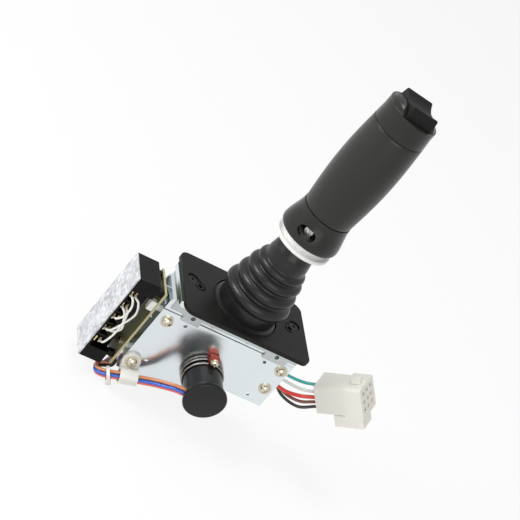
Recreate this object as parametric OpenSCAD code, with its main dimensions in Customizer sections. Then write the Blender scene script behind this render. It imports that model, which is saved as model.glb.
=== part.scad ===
// Single axis industrial joystick with neutral lock ring and steering rocker.
// Millimetres. The origin is on the bezel's top face, on the lever's axis. +Z runs up the lever,
// the pivot shaft lies along Y and the lever swings in the XZ plane. The sensor faces -Y.

/* [Bezel] */
// Width of the bezel plate
bezel_w = 95; // [91:1:110]
// Depth of the bezel plate
bezel_d = 58.7; // [56:0.1:66]
// Thickness of the bezel plate
bezel_t = 3; // [2.6:0.1:5]
// Corner radius of the bezel plate
bezel_corner_r = 6.5; // [3:0.5:10]
// Radius of the round seat that the boot's flange lies in
seat_r = 23.7; // [23.4:0.1:25]
// Depth of the boot's seat
seat_deep = 1.2; // [0.8:0.1:1.6]
// Radius of the opening that the lever swings in
lever_hole_r = 20.8; // [20.6:0.1:21.2]
// Distance of each console hole from the lever's axis
console_hole_x = 34.8; // [33.5:0.1:36]
// Radius of the console holes
console_hole_r = 1.65; // [1.2:0.05:2]
// Sideways distance of each bezel screw from the lever's axis
bezel_screw_x = 39.6; // [38.8:0.1:41]
// Distance of the bezel screws behind the lever's axis
bezel_screw_y = 5.5; // [4.5:0.1:7]
// Radius of the bezel screws' heads
bezel_screw_head_r = 3.1; // [2.6:0.1:3.6]

/* [Frame] */
// Width of the flange plate and of both channels
flange_w = 97; // [95:1:103]
// Depth of the flange plate
flange_d = 42; // [38:1:50]
// Thickness of the flange plate
flange_t = 3.5; // [2.5:0.1:5]
// Thickness of the frame's sheet metal
sheet_t = 1.5; // [1.2:0.1:2]
// Depth over the outer faces of the front and rear plates
housing_d = 26; // [25:0.5:30]
// Height of the outer channel's sides
outer_channel_h = 8.5; // [7.5:0.1:10]
// Height of the inner channel's sides
inner_channel_h = 11; // [10:0.1:12]
// Length of the tabs that reach over the side plates
tab_drop = 5; // [4:0.1:7]
// Left end of the side plates
plate_left = 51.5; // [50.5:0.1:52]
// Right end of the side plates
plate_right = 49.5; // [48.5:0.1:53]
// Level of the side plates' lower edge at the right, below the bezel's top
plate_low_right = 57; // [55:0.5:60]
// Level of the side plates' lower edge at the left
plate_low_left = 74; // [71:0.5:77]
// Width of the folded edge that carries the circuit board
return_w = 9; // [8:0.5:10]
// Radius of the columns between the side plates
column_r = 3; // [2.6:0.1:3.4]
// Radius of the frame screws' shanks
screw_r = 1.5; // [1.2:0.1:1.8]
// Radius of the frame screws' heads
screw_head_r = 3.5; // [3:0.1:3.9]
// Height of the frame screws' heads
screw_head_h = 2.4; // [1.8:0.1:3]
// Radius of the washers
washer_r = 4.4; // [4:0.1:4.8]
// Thickness of the washers
washer_t = 0.8; // [0.6:0.1:1]

/* [Pivot and lever] */
// Depth of the pivot shaft's axis under the bezel's top
pivot_drop = 52; // [50:0.5:54]
// Radius of the pivot shaft
shaft_r = 3; // [2.5:0.1:3.4]
// Radial clearance of the pivot shaft in its bearings
running_gap = 0.05; // [0.02:0.01:0.1]
// Outer radius of the pivot bearings
bearing_r = 5; // [4.6:0.1:5.4]
// Outer radius of the lever tube
tube_r = 6; // [5.6:0.1:6.2]
// Radius of the lock rod inside the lever tube
rod_r = 3; // [2.6:0.1:3.3]
// Gap between parts that slide or swing past each other
slide_gap = 0.3; // [0.2:0.05:0.4]
// Radius of the cross pins
pin_r = 1.5; // [1.2:0.1:1.7]
// Height of the lock pin below the bezel's top
lock_pin_drop = 16; // [15.5:0.5:17]
// Travel of the lock ring
ring_travel = 4; // [3:0.5:4.5]
// Swing of the lever to each side
lever_swing = 15; // [10:1:15]

/* [Sensor] */
// Radius of the sensor's body
pot_r = 9.5; // [8.5:0.1:10]
// Length of the sensor's body
pot_len = 13; // [11:0.5:15]
// Radius of the rubber cover
cover_r = 12.8; // [12.4:0.1:13.5]
// Radius of the bead round the cover's end
cover_bead_r = 14.4; // [14:0.1:15.5]
// Length of the rubber cover
cover_len = 27; // [24:0.5:30]
// Radius of the clamp's wires
clamp_wire_r = 0.7; // [0.5:0.05:0.9]

/* [Control module] */
// Width of the circuit board and the module
module_w = 26; // [24:0.5:28]
// Top of the circuit board below the bezel's top
board_top = 8.3; // [7.5:0.1:9]
// Bottom of the circuit board below the bezel's top
board_low = 74; // [72:0.5:76]
// Thickness of the circuit board
board_t = 1.6; // [1:0.1:2]
// Space between the frame and the circuit board
board_gap = 3.9; // [3.3:0.1:4.5]
// Height of the module's feet on the board
module_gap = 4.7; // [4:0.1:5.5]
// Depth of the module's case
module_t = 15.5; // [14:0.5:17]
// Top of the module below the bezel's top
module_top = 5.2; // [4.5:0.1:6]
// Bottom of the module below the bezel's top
module_low = 77.3; // [75:0.1:79]
// Thickness of the cast resin on the module's outer face
resin_t = 1; // [0.6:0.1:1.5]
// Distance from one terminal pair to the next
terminal_pitch = 10.5; // [9.5:0.1:10.8]

/* [Boot] */
// Wall of the rubber boot
boot_wall = 1.5; // [1.2:0.1:1.8]
// Radius of the boot's foot
boot_foot_r = 21; // [20.6:0.1:21.6]
// Height of the boot's upper end
boot_top = 61.2; // [60.5:0.1:61.4]
// Radius of the boot's upper end
boot_top_r = 11.6; // [10.8:0.1:12.4]

/* [Lock ring] */
// Radius of the lock ring's rim
ring_r = 19.9; // [19:0.1:20.5]
// Thickness of the rim
ring_rim_t = 3; // [2.4:0.1:3.4]
// Radius of the polished neck over the rim
ring_neck_r = 16.9; // [16:0.1:17]
// Gap between the boot and the lock ring
boot_ring_gap = 0.3; // [0.2:0.05:0.4]

/* [Grip] */
// Level of the grip collar's lower edge
collar_low = 69.2; // [69.1:0.1:70.5]
// Largest radius of the grip collar
collar_r = 20.9; // [20:0.1:22]
// Level of the seam between the collar and the sleeve
seam_z = 89.5; // [88:0.5:92]
// Radius of the collar at the seam
seam_r = 17.5; // [17:0.1:18.2]
// Level of the seam between the sleeve and the cap
cap_z = 162; // [150:1:170]
// Radius of the sleeve at the cap
sleeve_top_r = 18.4; // [18.1:0.1:19]
// How far the sleeve bulges in the middle
sleeve_bulge = 2; // [1:0.1:3]
// Radius of the grip's inner core
core_r = 12; // [11:0.1:12.4]
// Width of the collar's window
window_w = 13; // [10:0.5:14]
// Height of the collar's window
window_h = 7; // [5:0.5:8]
// Height of the cap's straight wall
cap_wall_h = 14; // [13:0.5:15]
// Height of the cap's cheeks beside the rocker, over the wall
cheek_h = 4.3; // [4:0.1:5]

/* [Rocker] */
// Width of the steering rocker
rocker_w = 19.4; // [17:0.1:21]
// Clearance beside the rocker
rocker_gap = 0.5; // [0.3:0.1:0.8]
// Half of the rocker's length
rocker_reach = 12.6; // [12:0.1:12.8]
// Height of the rocker's ridges over the rim of the cap
ridge_h = 8; // [7.5:0.1:8.5]
// Height of the rocker's saddle over the rim of the cap
saddle_h = 5; // [4.5:0.1:6]
// Swing of the rocker to each side
rocker_swing = 8; // [5:0.5:8]

/* [Wiring] */
// Radius of the sensor wires
wire_r = 1.05; // [0.8:0.05:1.2]
// Radius of the output leads
lead_r = 1.1; // [0.8:0.05:1.3]
// Radius of the supply lead
supply_lead_r = 1.35; // [1:0.05:1.5]
// Width of the connector
connector_w = 22.8; // [21:0.2:25]
// Length of the connector
connector_len = 30; // [26:0.5:34]

/* [Hidden] */
$fn = 48;
eps = 0.01;

// Levels of the frame, all below the bezel's top
flange_low = -bezel_t - flange_t;
channel_low = flange_low - outer_channel_h;
tab_low = channel_low - tab_drop;
inner_top = flange_low - sheet_t;
inner_low = flange_low - inner_channel_h;
plate_top = inner_low - 0.8;
plate_y = housing_d / 2;
plate_inner_y = plate_y - sheet_t;
slot_r = tube_r + 2;
tab_x = [-31.4, 33.6];
tab_w = [13, 17];
tab_hole_z = channel_low - 0.2;

// Frame columns: place along the plate and depth below the bezel's top
column_at = [[-44, -26], [43.9, -24.7], [43.5, -42.4]];
screw_bore_r = screw_r + running_gap;
clip_screw_at = [-46, -64.2];
clip_turn = 17;
small_holes = [[-31.5, -23.8], [29.9, -23.6], [36.5, -51.9], [-37, -61]];

// Pivot and lever
pivot_z = -pivot_drop;
hub_w = 18;
hub_d = 14;
hub_top = pivot_z + 20;
hub_low = pivot_z - 7;
tube_bore_r = rod_r + slide_gap;
tube_top = 84;
rod_top = 72;
ring_low = boot_top + boot_ring_gap;
ring_rim_top = ring_low + ring_rim_t;
ring_pin_z = ring_rim_top + 3.6;
ring_hub_r = 10.4;
ring_hub_top = ring_pin_z + pin_r + 1;
ring_neck_top = ring_rim_top + 8.6;
ring_bore_r = tube_r + running_gap;
gate_z = -lock_pin_drop;
quadrant_r = pivot_drop - lock_pin_drop - pin_r - slide_gap;
quadrant_low = pivot_z + 14;
rod_low = gate_z - pin_r - 2;
stop_z = pivot_z + 12;
stop_r = 2;
stop_x = hub_w / 2 * cos(lever_swing) + (stop_z - pivot_z) * tan(lever_swing) + stop_r + 1.2;

// Sensor
pot_face_y = -plate_y - 1.5;
neck_bore_r = shaft_r + running_gap;
cover_end_y = -plate_y - cover_len;
clamp_y = [-plate_y - 5.2, -plate_y - 1.2];
block_turn = 95;

// Board and module, from the frame outwards
board_x = -plate_left - board_gap - board_t;
module_x = board_x - module_gap;
resin_x = module_x - module_t;
board_mid_z = -(board_top + board_low) / 2;
post_y = plate_inner_y - 5.5;
post_z = [-24, -60];
post_r = 2.2;
bay_top = -module_top - 11;
bay_low = -module_low + 10;
bay_deep = 7;
terminal_x = [resin_x + 3, resin_x + 6];
terminal_z = [for (i = [0:4]) bay_top - 4 - i * terminal_pitch];

// Boot convolutions: radius, level and roundness of each
folds = [[24, 14.3, 4.4], [21.8, 24, 4], [19.8, 33, 3.6], [17.4, 40.3, 3]];
boot_lip_r = tube_r + slide_gap;

// Grip
rim_z = cap_z + cap_wall_h;
rim_r = sleeve_top_r - 0.6;
cheek_top = rim_z + cheek_h;
cheek_r = 17.5;
top_lean = 5;
hinge_r = 5.2;
core_low = ring_hub_top + ring_travel + slide_gap;
window_z = collar_low + 8.8;
window_turn = -125;
cavity_r = ring_neck_r + 0.6;
cavity_top = ring_neck_top + ring_travel + 0.4;
pivot_rocker_z = rim_z - 2.8;
bay_z = pivot_rocker_z - 3.2;
rocker_end_z = pivot_rocker_z + (rocker_reach * sin(rocker_swing) + slide_gap - 3.2) / cos(rocker_swing);

// The sensor wires leave the cover as a bundle, run through the clip and round, and part at the board.
// Each wire lies beside the bundle's line by so much upwards and outwards.
bundle_route = [[-11.5, -32.4, -56.3], [-17.5, -30.2, -58], [-28, -22.8, -66.2], [-37, -20, -71.3],
    [-43.1, -18.9, -73.6], [-50, -18, -76.4], [-56.5, -16.2, -80], [-60.4, -12.4, -82.6], [-59.6, -9, -81.4]];
wire_side = [[2.4, 0.8], [0, 1.6], [-2.4, 0.8], [0, -1.4]];
wire_end_y = [-8.9, -6.1, -3.3, -11.7];
wire_end_x = -53.45;

// Routes of the output leads, from the saddle between the side plates into the connector's rear face
lead_teal_route = [[38, -4, -30.2], [49, -3.8, -30.8], [60, -2.8, -32.4], [70, -1.6, -32.8], [77.5, -2.3, -30], [81.3, -5.2, -25.9]];
lead_white_route = [[38, -7, -32.8], [49, -6.8, -33.6], [60, -6, -35.4], [70, -5.6, -35.8], [77.4, -6.5, -33], [81.2, -9.4, -28.7]];
lead_red_route = [[38, -8, -36], [49, -8, -38.8], [60, -8, -41], [71, -7.4, -40], [79, -8.2, -36], [83, -11.1, -31.4]];
lead_brown_route = [[38, -3.5, -35], [49, -4.6, -38.6], [61, -6.6, -43.6], [73, -8.2, -43.6], [81.5, -8.8, -38.8], [85.5, -11.5, -33.8]];
lead_black_route = [[38, -0.5, -36], [49, -1.6, -38.8], [61, -5, -47], [75, -7.8, -48.4], [85, -8.5, -42], [89.2, -11.3, -36.9]];
saddle_x = 38;

// The connector lies turned at the leads' end: centre of its rear face, and its turn about X, Y and Z
connector_at = [86.5, -5, -31];
connector_turn = [11.9, -42.4, -38.2];
contact_pitch = 6;
rear_len = 3.5;

// ---------- shared shapes ----------

// A rectangle with round corners, centred
module round_rect(w, d, r) {
    square([w - 2 * r, d], center = true);
    square([w, d - 2 * r], center = true);
    for (x = [-1, 1], y = [-1, 1]) translate([x * (w / 2 - r), y * (d / 2 - r)]) circle(r);
}

// A slot of radius r from point a to point b
module slot(a, b, r) {
    span = b - a;
    translate(a) circle(r);
    translate(b) circle(r);
    translate((a + b) / 2) rotate(atan2(span[1], span[0])) square([norm(span), 2 * r - 2 * eps], center = true);
}

// A cylinder along Y from y0 to y1
module bar_y(r, y0, y1) {
    translate([0, y0, 0]) rotate([-90, 0, 0]) cylinder(r = r, h = y1 - y0);
}

// A cylinder along X from x0 to x1
module bar_x(r, x0, x1) {
    translate([x0, 0, 0]) rotate([0, 90, 0]) cylinder(r = r, h = x1 - x0);
}

// An outline given in X and Z, from y0 to y1
module sheet_y(y0, y1) {
    translate([0, y1, 0]) rotate([90, 0, 0]) linear_extrude(y1 - y0) children();
}

// A pan head screw with a cross recess and a washer, its washer lying on z = 0 and its shank below
module pan_screw(len) {
    difference() {
        union() {
            translate([0, 0, -len]) cylinder(r = screw_r, h = len + eps);
            cylinder(r = washer_r, h = washer_t);
            translate([0, 0, washer_t]) intersection() {
                cylinder(r = screw_head_r, h = screw_head_h);
                translate([0, 0, screw_head_h - screw_head_r * 1.6]) sphere(screw_head_r * 1.6);
            }
        }
        for (a = [0, 90]) rotate(a) translate([0, 0, washer_t + screw_head_h])
            cube([screw_head_r * 1.1, 0.8, 2.2], center = true);
    }
}

// The outline of a coil or tube: points of a Catmull-Rom curve through the route
function curve_point(p, i, t) =
    let (n = len(p) - 1, a = p[max(i - 1, 0)], b = p[i], c = p[min(i + 1, n)], d = p[min(i + 2, n)])
    0.5 * (2 * b + (c - a) * t + (2 * a - 5 * b + 4 * c - d) * t * t + (3 * b - a - 3 * c + d) * t * t * t);
function curve(p, per) = concat(
    [for (i = [0:len(p) - 2], k = [0:per - 1]) curve_point(p, i, k / per)], [p[len(p) - 1]]);
function unit(v) = v / norm(v);
function along(p, i) = unit(p[min(i + 1, len(p) - 1)] - p[max(i - 1, 0)]);
function carried(p, i, n) =
    let (t = along(p, i), side = unit(n - (n * t) * t)) i == len(p) - 1 ? [side] : concat([side], carried(p, i + 1, side));

// A round tube of the given number of sides along the points p
module tube_along(p, r, sides = 8) {
    start = unit(cross(along(p, 0), [0.3, 0.9, 0.2]));
    frames = carried(p, 0, start);
    last = len(p) - 1;
    points = [for (i = [0:last], k = [0:sides - 1])
        let (u = frames[i], v = cross(along(p, i), u), a = 360 * k / sides) p[i] + r * (cos(a) * u + sin(a) * v)];
    walls = [for (i = [0:last - 1], k = [0:sides - 1], half = [0, 1])
        let (a = i * sides + k, b = i * sides + (k + 1) % sides)
            half == 0 ? [a, a + sides, b + sides] : [a, b + sides, b]];
    ends = [[for (k = [0:sides - 1]) k], [for (k = [sides - 1:-1:0]) last * sides + k]];
    polyhedron(points, concat(walls, ends), convexity = 6);
}

// ---------- mounting head ----------

module side_recess(side) {
    slot([side * console_hole_x, 0], [side * bezel_screw_x, bezel_screw_y], 4.1);
}

module bezel_plate() {
    color("#2c2c2a") {
        difference() {
            union() {
                translate([0, 0, -bezel_t]) linear_extrude(bezel_t) round_rect(bezel_w, bezel_d, bezel_corner_r);
                translate([0, 0, -1]) cylinder(r = seat_r + 0.7, h = 1.5);
            }
            translate([0, 0, -bezel_t - 1]) cylinder(r = lever_hole_r, h = bezel_t + 2);
            translate([0, 0, -seat_deep]) cylinder(r = seat_r, h = seat_deep + 1);
            for (side = [-1, 1]) {
                translate([0, 0, -1]) linear_extrude(2) difference() {
                    side_recess(side);
                    translate([side * console_hole_x, 0]) circle(console_hole_r + 1.3);
                }
                translate([side * console_hole_x, 0, -bezel_t - 1]) cylinder(r = console_hole_r, h = bezel_t + 2);
                translate([side * bezel_screw_x, bezel_screw_y, -bezel_t - 1])
                    cylinder(r = screw_r + slide_gap, h = bezel_t + 2);
                translate([side * bezel_screw_x, bezel_screw_y, -1 - bezel_screw_head_r / 2])
                    cylinder(r1 = bezel_screw_head_r / 2, r2 = bezel_screw_head_r + eps, h = bezel_screw_head_r / 2 + eps);
            }
        }
    }
}

module bezel_screws() {
    color("#1c1c1c") for (side = [-1, 1])
        translate([side * bezel_screw_x, bezel_screw_y, -1]) difference() {
            union() {
                translate([0, 0, -bezel_screw_head_r / 2])
                    cylinder(r1 = bezel_screw_head_r / 2, r2 = bezel_screw_head_r, h = bezel_screw_head_r / 2);
                translate([0, 0, -bezel_t - flange_t + 1]) cylinder(r = screw_r, h = bezel_t + flange_t - 2);
            }
            translate([0, 0, -1.1]) cylinder(r = 1.15, h = 2, $fn = 6);
        }
}

module flange_plate() {
    color("#c3cacc") translate([0, 0, flange_low]) linear_extrude(flange_t) difference() {
        round_rect(flange_w, flange_d, 3);
        slot([-lever_hole_r + slot_r, 0], [lever_hole_r - slot_r, 0], slot_r);
        for (side = [-1, 1]) {
            translate([side * console_hole_x, 0]) circle(console_hole_r);
            translate([side * bezel_screw_x, bezel_screw_y]) circle(screw_bore_r);
        }
    }
}

// The bellows: a cone with round folds, and the same shape one wall smaller cut out of it
module bellows(inset) {
    rotate_extrude() {
        polygon([[0, inset > 0 ? -seat_deep - 1 : 0], [boot_foot_r - inset, inset > 0 ? -seat_deep - 1 : 0],
            [boot_foot_r - inset, 8], [19.8 - inset, 19], [18 - inset, 28.7], [16.2 - inset, 37],
            [14.7 - inset, 44], [14.6 - inset, 48], [13.7 - inset, 53.5],
            [boot_top_r - inset, boot_top - 1.2 - inset], [boot_top_r - 0.8 - inset, boot_top - inset], [0, boot_top - inset]]);
        for (fold = folds) intersection() {
            translate([fold[0] - fold[2], fold[1]]) circle(fold[2] - inset);
            translate([0, fold[1] - fold[2]]) square([fold[0], 2 * fold[2]]);
        }
    }
}

module boot() {
    color("#343432") difference() {
        union() {
            translate([0, 0, -seat_deep]) cylinder(r = seat_r - 0.5, h = seat_deep + 0.3);
            bellows(0);
        }
        bellows(boot_wall);
        cylinder(r = boot_lip_r, h = boot_top + 1);
    }
}

// ---------- frame ----------

// Both legs and the web of a channel open downwards
module channel(top, low, x0, x1, outer_y) {
    for (side = [-1, 1]) translate([x0, side > 0 ? outer_y - sheet_t : -outer_y, low]) cube([x1 - x0, sheet_t, top - low]);
    translate([x0, -outer_y, top - sheet_t]) cube([x1 - x0, 2 * outer_y, sheet_t]);
}

module lever_slot(z) {
    translate([0, 0, z - 3]) linear_extrude(6)
        slot([-lever_hole_r + slot_r, 0], [lever_hole_r - slot_r, 0], slot_r);
}

module outer_channel() {
    color("#b4b8b8") difference() {
        union() {
            channel(flange_low, channel_low, -flange_w / 2, flange_w / 2, plate_y + sheet_t);
            for (i = [0, 1], side = [-1, 1])
                translate([tab_x[i] - tab_w[i] / 2, side > 0 ? plate_y : -plate_y - sheet_t, tab_low])
                    cube([tab_w[i], sheet_t, tab_drop + 1]);
        }
        lever_slot(flange_low);
        for (x = tab_x) translate([x, 0, tab_hole_z]) bar_y(1.6, -plate_y - 3, plate_y + 3);
        for (side = [-1, 1]) {
            translate([side * console_hole_x, 0, flange_low - 3]) cylinder(r = console_hole_r, h = 4);
            translate([side * bezel_screw_x, bezel_screw_y, flange_low - 3]) cylinder(r = screw_bore_r, h = 4);
        }
    }
}

module inner_channel() {
    color("#d4dade") difference() {
        channel(inner_top, inner_low, -plate_left, plate_right, plate_y);
        lever_slot(inner_top);
        for (x = [-16.2, 10.7]) translate([x, 0, channel_low + 0.6]) bar_y(1.9, -plate_y - 1, plate_y + 1);
        for (x = tab_x) translate([x, 0, tab_hole_z]) bar_y(1.6, -plate_y - 1, plate_y + 1);
        for (side = [-1, 1]) translate([side * console_hole_x, 0, inner_top - 3]) cylinder(r = console_hole_r, h = 4);
        translate([-plate_left, 0, inner_top]) rotate([0, 45, 0]) cube([4, 3 * plate_y, 4], center = true);
    }
}

// Outline of a side plate in X and Z, with its stepped lower edge
module plate_outline() {
    difference() {
        polygon([[-plate_left, plate_top], [plate_right, plate_top], [plate_right, -plate_low_right],
            [4, -plate_low_right], [-6, -plate_low_left], [-plate_left, -plate_low_left]]);
        for (p = column_at) translate(p) circle(screw_bore_r);
        translate(clip_screw_at) circle(screw_bore_r);
        for (p = small_holes) translate(p) circle(1.3);
        translate([0, pivot_z]) circle(bearing_r);
    }
}

// The folded edge of a side plate, notched at two places, with the holes of the board posts
module return_edge(side) {
    y0 = side > 0 ? plate_y - return_w : -plate_y;
    difference() {
        translate([-plate_left, y0, -plate_low_left]) cube([sheet_t, return_w, plate_low_left + plate_top]);
        for (z = [-33, -56]) translate([-plate_left, side * (plate_y - return_w), z]) cube([4, 7, 3], center = true);
        for (z = post_z) translate([0, side * post_y, z]) bar_x(screw_bore_r, -plate_left - 1, 0);
    }
}

module front_plate() {
    color("#dfe6ea") {
        sheet_y(-plate_y, -plate_inner_y) plate_outline();
        return_edge(-1);
    }
}

module rear_plate() {
    color("#dfe6ea") {
        sheet_y(plate_inner_y, plate_y) plate_outline();
        return_edge(1);
    }
}

module frame_columns() {
    color("#c9c9bf") for (p = concat(column_at, [clip_screw_at])) translate([p[0], 0, p[1]]) difference() {
        bar_y(column_r, -plate_inner_y, plate_inner_y);
        bar_y(screw_bore_r, -plate_inner_y - 1, plate_inner_y + 1);
    }
}

module front_screws() {
    color("#cfc9b4") for (p = column_at)
        translate([p[0], -plate_y, p[1]]) rotate([90, 0, 0]) rotate(p[1]) pan_screw(9);
}

module rear_screws() {
    color("#cfc9b4") for (p = concat(column_at, [clip_screw_at]))
        translate([p[0], plate_y, p[1]]) rotate([-90, 0, 0]) pan_screw(9);
}

// ---------- pivot and return ----------

module pivot_shaft() {
    color("#b9bcbc") translate([0, 0, pivot_z]) bar_y(shaft_r, pot_face_y - pot_len + 3, plate_y + 2);
}

module lever_hub() {
    color("#a9adad") difference() {
        union() {
            translate([0, 0, pivot_z]) bar_y(8, -hub_d / 2, hub_d / 2);
            translate([-hub_w / 2, -hub_d / 2, pivot_z]) cube([hub_w, hub_d, hub_top - pivot_z]);
        }
        translate([0, 0, pivot_z]) bar_y(shaft_r, -hub_d, hub_d);
        translate([0, 0, hub_top - 9]) cylinder(r = tube_r, h = 10);
        translate([0, 0, hub_top - 4.5]) bar_x(pin_r, -hub_w, hub_w);
    }
}

module hub_pin() {
    color("#8f9292") translate([0, 0, hub_top - 4.5]) bar_x(pin_r, -hub_w / 2, hub_w / 2);
}

module pivot_bushes() {
    color("#b58d52") translate([0, 0, pivot_z]) difference() {
        union() {
            bar_y(bearing_r, plate_inner_y - 1, plate_y);
            bar_y(bearing_r + 1.5, plate_inner_y - 1, plate_inner_y);
        }
        bar_y(neck_bore_r, 0, plate_y + 1);
    }
}

// Return spring: turns round the hub's rear boss with two legs that hold the post between them
module centring_spring() {
    turns = 1.5;
    coil_r = 5.2;
    coil = [for (k = [0:28]) let (a = 90 + 11 + (360 * turns - 22) * k / 28)
        [coil_r * cos(a), hub_d / 2 + 1.1 + 1.4 * k / 28, pivot_z + coil_r * sin(a)]];
    color("#9ca0a0") tube_along(coil, 0.5, 6);
}

module spring_post() {
    color("#c9c9bf") translate([0, 0, pivot_z - 9.5]) bar_y(1.6, hub_d / 2 + 0.6, plate_inner_y);
}

module stop_pins() {
    color("#c9c9bf") for (side = [-1, 1]) translate([side * stop_x, 0, stop_z])
        bar_y(stop_r, -plate_inner_y, plate_inner_y);
}

// ---------- neutral lock ----------

module lock_quadrants() {
    color("#c3c7c7") for (side = [-1, 1])
        sheet_y(side > 0 ? plate_inner_y - 1.2 : -plate_inner_y, side > 0 ? plate_inner_y : -plate_inner_y + 1.2)
            difference() {
                intersection() {
                    translate([0, pivot_z]) circle(quadrant_r);
                    translate([-15, quadrant_low]) square([30, 40]);
                }
                translate([-pin_r - 0.2, pivot_z + quadrant_r - 3]) square([2 * pin_r + 0.4, 5]);
            }
}

module lock_ring() {
    color("#dcdcd8") difference() {
        rotate_extrude() polygon([[ring_bore_r, ring_low], [ring_r - 1, ring_low], [ring_r, ring_low + 0.8],
            [ring_r, ring_rim_top - 0.5], [ring_r - 0.5, ring_rim_top], [ring_neck_r - 0.5, ring_rim_top],
            [ring_neck_r, ring_rim_top + 2], [ring_neck_r, ring_neck_top], [ring_neck_r - 1.5, ring_neck_top],
            [ring_neck_r - 1.5, ring_rim_top + 1], [ring_hub_r, ring_rim_top], [ring_hub_r, ring_hub_top],
            [ring_bore_r, ring_hub_top]]);
        translate([0, 0, ring_pin_z]) bar_y(pin_r, -ring_hub_r - 1, ring_hub_r + 1);
    }
}

module ring_pin() {
    color("#8f9292") translate([0, 0, ring_pin_z]) bar_y(pin_r, -ring_hub_r, ring_hub_r);
}

module lock_rod() {
    color("#aaaeae") difference() {
        translate([0, 0, rod_low]) cylinder(r = rod_r, h = rod_top - rod_low);
        for (z = [gate_z, ring_pin_z]) translate([0, 0, z]) bar_y(pin_r, -rod_r - 1, rod_r + 1);
    }
}

module gate_pin() {
    color("#8f9292") translate([0, 0, gate_z]) bar_y(pin_r, -plate_inner_y + 0.5, plate_inner_y - 0.5);
}

module lock_spring() {
    turns = 5;
    steps = 60;
    low = rod_top + 0.4;
    high = tube_top - 1.8;
    coil = [for (k = [0:steps]) let (a = 360 * turns * k / steps)
        [2.3 * cos(a), 2.3 * sin(a), low + 0.4 + (high - low - 0.8) * k / steps]];
    color("#9ca0a0") tube_along(coil, 0.4, 6);
}

// ---------- sensor ----------

module pot_body() {
    color("#3a4a5c") translate([0, 0, pivot_z]) difference() {
        union() {
            bar_y(pot_r, pot_face_y - pot_len, pot_face_y);
            bar_y(bearing_r + 2, pot_face_y, -plate_y);
            bar_y(bearing_r, pot_face_y, -plate_inner_y + 3.5);
        }
        bar_y(neck_bore_r, pot_face_y - pot_len + 2, 0);
    }
}

module pot_nut() {
    color("#c9b36a") translate([0, 0, pivot_z]) difference() {
        translate([0, -plate_inner_y, 0]) rotate([-90, 0, 0]) cylinder(r = bearing_r + 2.4, h = 2.4, $fn = 6);
        bar_y(bearing_r, -plate_inner_y - 1, 0);
    }
}

module pot_cover() {
    color("#2a2b2a") difference() {
        translate([0, 0, pivot_z]) rotate([90, 0, 0]) rotate_extrude() difference() {
            polygon([[0, plate_y], [cover_r - 0.4, plate_y], [cover_r, plate_y + 1],
                [cover_r, plate_y + cover_len - 5.5], [cover_bead_r, plate_y + cover_len - 2.4],
                [cover_bead_r, plate_y + cover_len - 0.7], [cover_bead_r - 0.7, plate_y + cover_len],
                [0, plate_y + cover_len]]);
            translate([0, plate_y - 1]) square([cover_r - 2.2, pot_len + 4.5]);
            translate([0, plate_y - 1]) square([cover_r - 3, cover_len - 2]);
        }
        wire_ports();
    }
}

// The holes that the sensor wires enter the cover by
module wire_ports() {
    for (i = [0:3]) {
        way = unit(wire_route(i)[0] - wire_route(i)[1]);
        translate(wire_route(i)[0] - 2 * way) rotate([0, acos(way[2]), atan2(way[1], way[0])])
            cylinder(r = wire_r + 0.1, h = 6);
    }
}

// Two wires round the cover that run together into the screw block
module clamp_wires() {
    color("#4a4844") for (y = clamp_y) translate([0, y, pivot_z]) rotate([90, 0, 0])
        difference() {
            rotate_extrude() translate([cover_r + clamp_wire_r, 0]) circle(clamp_wire_r, $fn = 24);
            rotate(block_turn) translate([cover_r + 2.6, 0, 0]) cube([8, 6.4, 6], center = true);
        }
}

module clamp_block() {
    color("#b8452f") translate([0, (clamp_y[0] + clamp_y[1]) / 2, pivot_z]) rotate([90, 0, 0]) rotate(block_turn)
        translate([cover_r + 3.2, 0, 0]) difference() {
            cube([5, 6, 5.5], center = true);
            cylinder(r = screw_bore_r, h = 20, center = true);
        }
}

module clamp_screw() {
    color("#cfcfca") translate([0, (clamp_y[0] + clamp_y[1]) / 2 - 2.75, pivot_z]) rotate([90, 0, 0])
        rotate(block_turn) translate([cover_r + 3.2, 0, 0]) difference() {
            union() {
                translate([0, 0, -5.5]) cylinder(r = screw_r, h = 5.6);
                cylinder(r = 2.9, h = 1.2);
                translate([0, 0, 1.2]) intersection() {
                    cylinder(r = 2.4, h = 1.6);
                    translate([0, 0, -2.2]) sphere(3.8);
                }
            }
            for (a = [20, 110]) rotate(a) translate([0, 0, 2.8]) cube([2.8, 0.7, 1.6], center = true);
        }
}

// ---------- circuit board and module ----------

module circuit_board() {
    color("#6f7048") difference() {
        translate([board_x, -module_w / 2, -board_low]) cube([board_t, module_w, board_low - board_top]);
        for (y = [-post_y, post_y], z = post_z) translate([0, y, z]) bar_x(screw_bore_r, board_x - 1, board_x + board_t + 1);
        for (y = [-11, -8.4], z = [-70.5, -67]) translate([0, y, z]) bar_x(0.8, board_x - 1, board_x + board_t + 1);
    }
}

module board_posts() {
    color("#d8d6cc") for (y = [-post_y, post_y], z = post_z) translate([0, y, z]) difference() {
        bar_x(post_r, board_x + board_t, -plate_left);
        bar_x(screw_bore_r, board_x, 0);
    }
}

module board_screws() {
    color("#cfc9b4") for (y = [-post_y, post_y], z = post_z) translate([0, y, z]) {
        bar_x(screw_r, board_x, -plate_left + sheet_t);
        difference() {
            bar_x(2.6, board_x - 1.5, board_x);
            for (a = [0, 90]) translate([board_x - 1.5, 0, 0]) rotate([a, 0, 0]) cube([1.4, 3, 0.6], center = true);
        }
    }
}

module board_header() {
    color("#efeee6") translate([board_x - 4.2, -module_w / 2 + 0.2, -24.5]) difference() {
        cube([4.2, 4, 7.5]);
        translate([-1, 0.9, 0.9]) cube([3.6, 2.2, 5.7]);
    }
}

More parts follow.
